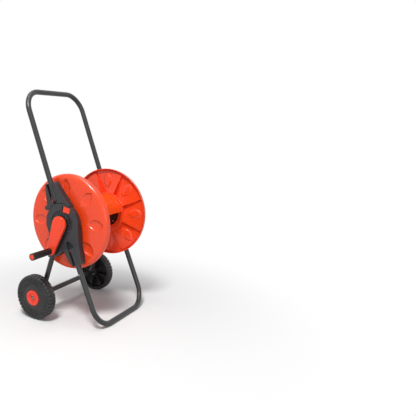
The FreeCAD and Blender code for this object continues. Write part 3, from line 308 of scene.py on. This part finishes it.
def leaf(radius, degrees):
    """How far into a leaf a point lies: 0 outside, rising steeply at its edge to 1 inside."""
    along = (radius - LEAF_MIDDLE) / LEAF_LONG
    if abs(along) >= 1.0:
        return 0.0
    off = (degrees - FIRST_LEAF + TURN / 2) % TURN - TURN / 2
    across = abs(radius * math.radians(off)) / (LEAF_WIDE * (1.0 - along * along))
    return 0.0 if across >= 1.0 else math.sqrt(1.0 - across ** 2.6) * (1.0 - along ** 4)


def shell_loop(degrees, fall):
    """The flange's skin at one angle: outer face, shoulder and rim, then back along the inside."""
    radii = [30.0, 60.0, 84.0] + [92.0 + 2.0 * step for step in range(32)] + [156.0]
    face = [(FACE - LEAF_DEEP * leaf(radius, degrees), radius) for radius in radii]
    shoulder = [(FACE - 14.0 + 14.0 * math.cos(math.radians(turn)),
                 FLANGE - 14.0 + 14.0 * math.sin(math.radians(turn)))
                for turn in range(15, 91, 15)]
    rim = [(FACE - 19.4, FLANGE), (FACE - 20.0, FLANGE - 0.6), (FACE - 20.0, FLANGE - 2.0),
           (FACE - 19.4, FLANGE - 2.6)]
    inside = [(FACE - 14.0, FLANGE - 2.6), (FACE - 6.0, FLANGE - 6.0)]
    back = [(out - 2.6, radius) for out, radius in reversed(face)]
    return face + shoulder + rim + inside + back


def sector_loop(degrees, fall):
    """A sloping sector at one angle. fall runs from 0 at its raised edge to 1 at its deep end."""
    front = []
    behind = []
    for radius in [76.0, 80.0, 86.0] + [92.0 + 2.0 * step for step in range(32)] + [158.0, 161.0]:
        share = (radius - 76.0) / 85.0
        proud = FACE - 24.0 + 14.0 * share
        sunk = LEAF_DEEP * leaf(radius, degrees)
        back = FACE - 2.2 - sunk
        out = min(proud + (FACE - 5.1 - proud) * fall, back - 1.2)
        front.append((out - 0.75 * sunk, radius))
        behind.append((back, radius))
    return front + behind[::-1]


def columns_of(loop_at, places, side):
    """Joins one closed loop of points per angle into a ring. Angles count up from the front."""
    shape = bmesh.new()
    rings = []
    for degrees, fall in places:
        turn = math.radians(degrees)
        rings.append([shape.verts.new((AXLE.x + side * out * MM,
                                       AXLE.y - radius * MM * math.cos(turn),
                                       AXLE.z + radius * MM * math.sin(turn)))
                      for out, radius in loop_at(degrees, fall)])
    for here, after in zip(rings, rings[1:] + rings[:1]):
        for index in range(len(here)):
            beyond = (index + 1) % len(here)
            shape.faces.new((here[index], here[beyond], after[beyond], after[index]))
    bmesh.ops.recalc_face_normals(shape, faces=shape.faces)
    return shape


even = [(step * 0.75, 0.0) for step in range(480)]
stepped = [(FIRST_STEP + TURN * (sector + step / 48.0), step / 48.0)
           for sector in range(LEAVES) for step in range(49)]
hub_ring = [(FACE - 26.0, 57.5), (FACE - 26.0, 77.5), (FACE - 25.5, 78.0), (FACE - 2.2, 78.0),
            (FACE - 2.2, 75.5),
            (FACE - 23.0, 75.5), (FACE - 23.0, 59.5), (FACE - 2.2, 59.5), (FACE - 2.2,
                                                                           57.0), (FACE - 25.5,
                                                                                   57.0)]
for side, name, node in ((-1, "left_reel_flange", "left_flange"),
                         (1, "right_reel_flange", "right_flange")):
    whole = columns_of(shell_loop, even, side)
    for extra in (columns_of(sector_loop, stepped, side), swept(hub_ring, AXLE, side, 120)):
        mesh = bpy.data.meshes.new("part_of_flange")
        extra.to_mesh(mesh)
        extra.free()
        whole.from_mesh(mesh)
        bpy.data.meshes.remove(mesh)
    finished_object(name, whole, "flange_plastic", "reel", node)

# %% [markdown]
# What repeats round a wheel, such as tread blocks and ribs, is made once and dealt out by Geometry
# Nodes. The tree sets a row of points on the axle, turns each one a little further than the last,
# and puts a copy of the piece on every point. Copies are then made real and given their material,
# because an exported model can't hold instances.

# %% A Geometry Nodes tree that deals pieces round an axle
ring_tree = bpy.data.node_groups.new("pieces_round_an_axle", "GeometryNodeTree")
ring_tree.is_modifier = True
sockets = {}
for label, kind in (("Piece", "Geometry"), ("Count", "Int"), ("First Angle", "Float"),
                    ("Axle", "Vector"), ("Finish", "Material")):
    sockets[label] = ring_tree.interface.new_socket(label, in_out="INPUT",
                                                    socket_type="NodeSocket" + kind)
ring_tree.interface.new_socket("Ring", in_out="OUTPUT", socket_type="NodeSocketGeometry")
given = add_node(ring_tree, "NodeGroupInput").outputs
points = add_node(ring_tree, "GeometryNodePoints", (),
                  {"Count": given["Count"], "Position": given["Axle"]})
share = add_node(ring_tree, "ShaderNodeMath", (),
                 {0: add_node(ring_tree, "GeometryNodeInputIndex").outputs[0], 1: given["Count"]},
                 operation="DIVIDE")
angle_node = add_node(ring_tree, "ShaderNodeMath", {1: 2 * math.pi},
                      {0: share.outputs[0], 2: given["First Angle"]}, operation="MULTIPLY_ADD")
euler = add_node(ring_tree, "ShaderNodeCombineXYZ", (), {"X": angle_node.outputs[0]})
turn = add_node(ring_tree, "FunctionNodeEulerToRotation", (), {0: euler.outputs[0]})
dealt = add_node(ring_tree, "GeometryNodeInstanceOnPoints", (),
                 {"Points": points.outputs[0], "Instance": given["Piece"],
                  "Rotation": turn.outputs[0]})
real = add_node(ring_tree, "GeometryNodeRealizeInstances", (), {"Geometry": dealt.outputs[0]})
coloured = add_node(ring_tree, "GeometryNodeSetMaterial", (),
                    {"Geometry": real.outputs[0], "Material": given["Finish"]})
add_node(ring_tree, "NodeGroupOutput", (), {0: coloured.outputs[0]})


def dealt_round(piece, count, axle, finish, first=0.0):
    """The bmesh piece, drawn about the origin, copied count times round an axle along X."""
    mesh = bpy.data.meshes.new("one_piece")
    piece.to_mesh(mesh)
    piece.free()
    holder = bpy.data.objects.new("one_piece", mesh)
    bpy.context.scene.collection.objects.link(holder)
    nodes = holder.modifiers.new("ring", "NODES")
    nodes.node_group = ring_tree
    for label, value in (("Count", count), ("First Angle", first), ("Axle", list(axle)),
                         ("Finish", finishes[finish])):
        nodes[sockets[label].identifier] = value
    ready = holder.evaluated_get(bpy.context.evaluated_depsgraph_get())
    result = bpy.data.meshes.new_from_object(ready)
    bpy.data.objects.remove(holder)
    print("dealt", count, "pieces,", len(result.polygons), "faces")
    return result


# %% [markdown]
# A tread block or rib is a closed flat outline, drawn by distance from the middle plane and from
# the axle, and given its width as an angle. Its edges are rounded off a little, as a mould needs.

# %% Draw one block
def block_piece(outline, side, half_angle, bevel, centre_angle=0.0):
    """A block from (out, radius) points in millimetres that spans an angle about the axle."""
    shape = bmesh.new()
    faces = []
    for sign in (-1, 1):
        angle = math.radians(centre_angle + sign * half_angle)
        loop = [shape.verts.new((side * out * MM, radius * MM * math.cos(angle),
                                 radius * MM * math.sin(angle)))
                for out, radius in outline]
        faces.append(loop)
    shape.faces.new(faces[0])
    shape.faces.new(faces[1])
    for index in range(len(outline)):
        beyond = (index + 1) % len(outline)
        shape.faces.new((faces[0][index], faces[0][beyond], faces[1][beyond], faces[1][index]))
    bmesh.ops.recalc_face_normals(shape, faces=shape.faces)
    if bevel:
        bmesh.ops.bevel(shape, geom=shape.edges[:], offset=bevel * MM, segments=1, affect="EDGES",
                        clamp_overlap=True)
    return shape


# %% [markdown]
# The wheel is one hollow moulding, open at its inner side: a dished face, a bulging sidewall, a
# tread, and a hub tube in the middle that turns on the axle rod. Its face has a seat for the
# red cap.
# The tread has blocks along both edges, and each row is set half a block behind the other.

# %% Measure and shape the wheels
wheel_low, wheel_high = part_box("right_wheel")
WHEEL_IN = (wheel_low.x - AXLE.x) / MM
WHEEL_OUT = (wheel_high.x - AXLE.x) / MM
TYRE = (wheel_high.z - wheel_low.z) / 2 / MM
WHEEL_AXLE = Vector((AXLE.x, (wheel_low.y + wheel_high.y) / 2, (wheel_low.z + wheel_high.z) / 2))
print("wheel", round(2 * TYRE, 1), "mm across and", round(WHEEL_OUT - WHEEL_IN, 1), "mm wide")
BLOCKS = 36
FACE_RIBS = 60
BACK_RIBS = 8

wheel_section = [
    (WHEEL_OUT - 3.0, 8.2), (WHEEL_OUT - 3.0, 29.4), (WHEEL_OUT - 0.8, 29.4), (WHEEL_OUT - 0.2,
                                                                               30.0),
    (WHEEL_OUT - 0.2, 36.0), (WHEEL_OUT - 1.0, 38.0), (WHEEL_OUT - 2.8, 41.0), (WHEEL_OUT - 3.6,
                                                                                46.0),
    (WHEEL_OUT - 3.4, 52.0), (WHEEL_OUT - 2.8, 60.0), (WHEEL_OUT - 3.0, 68.0), (WHEEL_OUT - 4.2,
                                                                                73.5),
    (WHEEL_OUT - 5.6, 77.4), (WHEEL_OUT - 9.5, 79.6), (WHEEL_OUT - 13.0, TYRE - 2.6),
    (WHEEL_IN + 13.0, TYRE - 2.6), (WHEEL_IN + 9.5, 79.6), (WHEEL_IN + 5.6, 77.4),
    (WHEEL_IN + 2.8, 74.5), (WHEEL_IN + 1.6, 72.5), (WHEEL_IN + 2.0, 71.0), (WHEEL_IN + 4.0, 70.4),
    (WHEEL_IN + 12.0, 70.8), (WHEEL_OUT - 11.0, 71.2), (WHEEL_OUT - 8.0, 69.0), (WHEEL_OUT - 6.8,
                                                                                 64.0),
    (WHEEL_OUT - 6.6, 50.0), (WHEEL_OUT - 7.4, 36.0), (WHEEL_OUT - 8.4, 18.0), (WHEEL_OUT - 9.4,
                                                                                15.6),
    (WHEEL_IN + 1.0, 15.0), (WHEEL_IN + 0.2, 14.2), (WHEEL_IN + 0.2, 8.8), (WHEEL_IN + 0.8, 8.2),
]
tread_block = [
    (WHEEL_OUT - 3.0, 70.5), (WHEEL_OUT - 0.5, 71.0), (WHEEL_OUT - 0.4, 75.0), (WHEEL_OUT - 1.8,
                                                                                78.6),
    (WHEEL_OUT - 4.6, 81.2), (WHEEL_OUT - 8.4, 82.4), (WHEEL_OUT - 17.2, TYRE - 0.1),
    (WHEEL_OUT - 17.2, 79.0), (WHEEL_OUT - 10.0, 77.5), (WHEEL_OUT - 5.0, 73.5),
]
flip = WHEEL_OUT + WHEEL_IN
back_block = [(flip - out, radius) for out, radius in tread_block]
face_rib = [
    (WHEEL_OUT - 4.2, 44.0), (WHEEL_OUT - 2.0, 46.0), (WHEEL_OUT - 0.9, 56.0), (WHEEL_OUT - 0.6,
                                                                                66.0),
    (WHEEL_OUT - 0.9, 72.6), (WHEEL_OUT - 4.6, 72.0), (WHEEL_OUT - 4.0, 58.0),
]
back_rib = [(WHEEL_IN + 6.0, 14.5), (WHEEL_IN + 9.0, 71.5), (WHEEL_OUT - 7.0, 71.5),
            (WHEEL_OUT - 8.0, 14.5)]


def make_wheel(side, name, body, node):
    """The moulded wheel for one side of the cart."""
    shape = swept(wheel_section, WHEEL_AXLE, side)
    block_half = 180.0 / BLOCKS - 1.15
    for outline, half, bevel, count, first in (
            (tread_block, block_half, 0.5, BLOCKS, 0.0),
            (back_block, block_half, 0.5, BLOCKS, math.pi / BLOCKS),
            (face_rib, 1.1, 0.3, FACE_RIBS, 0.0),
            (back_rib, 1.2, 0.0, BACK_RIBS, 0.2)):
        piece = block_piece(outline, side, half, bevel)
        ring = dealt_round(piece, count, WHEEL_AXLE, "tyre_plastic", first)
        shape.from_mesh(ring)
        bpy.data.meshes.remove(ring)
    return finished_object(name, shape, "tyre_plastic", body, node)


make_wheel(-1, "left_tyre", "left_wheel_set", "left_wheel")
make_wheel(1, "right_tyre", "right_wheel_set", "right_wheel")

# %% [markdown]
# The cap snaps into the wheel's face. It has a rounded rim, a shallow dish with a raised ring, and
# a hole that shows the end of the axle rod.

# %% Shape the hub caps
cap_low, cap_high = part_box("right_hub_cap")
CAP_OUT = (cap_high.x - AXLE.x) / MM
CAP_IN = (cap_low.x - AXLE.x) / MM
CAP = (cap_high.z - cap_low.z) / 2 / MM
cap_section = [
    (CAP_IN + 0.2, 7.6), (CAP_IN + 0.2, CAP - 0.6), (CAP_IN + 0.8, CAP - 0.1), (CAP_OUT - 2.2,
                                                                                CAP - 0.1),
    (CAP_OUT - 0.8, CAP - 0.7), (CAP_OUT - 0.1, CAP - 2.2), (CAP_OUT - 0.1, 18.6), (CAP_OUT - 0.5,
                                                                                    17.6),
    (CAP_OUT - 2.6, 16.4), (CAP_OUT - 2.8, 14.0), (CAP_OUT - 1.4, 12.6), (CAP_OUT - 0.6, 11.6),
    (CAP_OUT - 0.6, 9.4), (CAP_OUT - 1.2, 8.2), (CAP_OUT - 2.4, 7.6),
]
for side, name, body, node in ((-1, "left_cap", "left_wheel_set", "left_hub_cap"),
                               (1, "right_cap", "right_wheel_set", "right_hub_cap")):
    finished_object(name, swept(cap_section, WHEEL_AXLE, side, 96), "cap_plastic", body, node)

# %% [markdown]
# The studio is a pale floor, a white surround and three soft lamps: the main one high at the front
# right, a weaker one at the left, and one overhead. The floor keeps the cart's shadow close to it
# and fades to white further out. That fade is by distance from the cart, so it stays where it is
# when the camera moves.

# %% Light the studio
floor_shape = bmesh.new()
bmesh.ops.create_grid(floor_shape, x_segments=8, y_segments=8, size=14.0)
floor_mesh = bpy.data.meshes.new("floor")
floor_shape.to_mesh(floor_mesh)
floor_shape.free()
floor = bpy.data.objects.new("floor", floor_mesh)
bpy.context.scene.collection.objects.link(floor)

paper = bpy.data.materials.new("matt_white_paper")
paper.use_nodes = True
tree = paper.node_tree
tree.nodes.clear()
place = add_node(tree, "ShaderNodeTexCoord").outputs["Object"]
reach = add_node(tree, "ShaderNodeVectorMath", (), {0: place}, operation="LENGTH")
fade = add_node(tree, "ShaderNodeMapRange", {"From Min": 0.15, "From Max": 0.95},
                {"Value": reach.outputs["Value"]}, interpolation_type="SMOOTHSTEP")
path = add_node(tree, "ShaderNodeLightPath").outputs
seen = add_node(tree, "ShaderNodeMath", (), {0: path["Is Camera Ray"], 1: path["Is Glossy Ray"]},
                operation="MAXIMUM")
white = add_node(tree, "ShaderNodeMath", (), {0: seen.outputs[0], 1: fade.outputs[0]},
                 operation="MULTIPLY")
matt = add_node(tree, "ShaderNodeBsdfDiffuse", {"Color": linear("F1F1F0")})
glow = add_node(tree, "ShaderNodeEmission", {"Color": linear("FFFFFF"), "Strength": 1.0})
both_ways = add_node(tree, "ShaderNodeMixShader", (),
                     {0: white.outputs[0], 1: matt.outputs[0], 2: glow.outputs[0]})
add_node(tree, "ShaderNodeOutputMaterial", (), {"Surface": both_ways.outputs[0]})
floor_mesh.materials.append(paper)

world = bpy.data.worlds.new("studio")
world.use_nodes = True
bpy.context.scene.world = world
tree = world.node_tree
tree.nodes.clear()
path = add_node(tree, "ShaderNodeLightPath").outputs
seen = add_node(tree, "ShaderNodeMath", (), {0: path["Is Camera Ray"], 1: path["Is Glossy Ray"]},
                operation="MAXIMUM")
seen = add_node(tree, "ShaderNodeMath", (), {0: seen.outputs[0], 1: path["Is Transmission Ray"]},
                operation="MAXIMUM")
ambient = add_node(tree, "ShaderNodeBackground", {"Color": linear("F4F6FA"), "Strength": 0.28})
surround = add_node(tree, "ShaderNodeBackground", {"Color": linear("FFFFFF"), "Strength": 1.0})
sky = add_node(tree, "ShaderNodeMixShader", (),
               {0: seen.outputs[0], 1: ambient.outputs[0], 2: surround.outputs[0]})
add_node(tree, "ShaderNodeOutputWorld", (), {"Surface": sky.outputs[0]})

for name, spot, size, power in (("main", (-1.25, -0.45, 2.4), 0.55, 50.0),
                                ("front", (-1.5, -1.9, 0.9), 1.2, 9.0),
                                ("overhead", (-0.12, 0.05, 2.2), 0.8, 8.0)):
    lamp = bpy.data.lights.new(name, "AREA")
    lamp.energy = power
    lamp.size = size
    holder = bpy.data.objects.new(name, lamp)
    holder.location = spot
    holder.rotation_euler = (Vector((0.0, 0.0, 0.4)) - Vector(spot)).to_track_quat("-Z",
                                                                                   "Y").to_euler()
    bpy.context.scene.collection.objects.link(holder)
print("lamps: 3")

# %% [markdown]
# Colours should come out as they are written, so the plain Standard view is used.

# %% Finish
bpy.context.scene.view_settings.view_transform = "Standard"
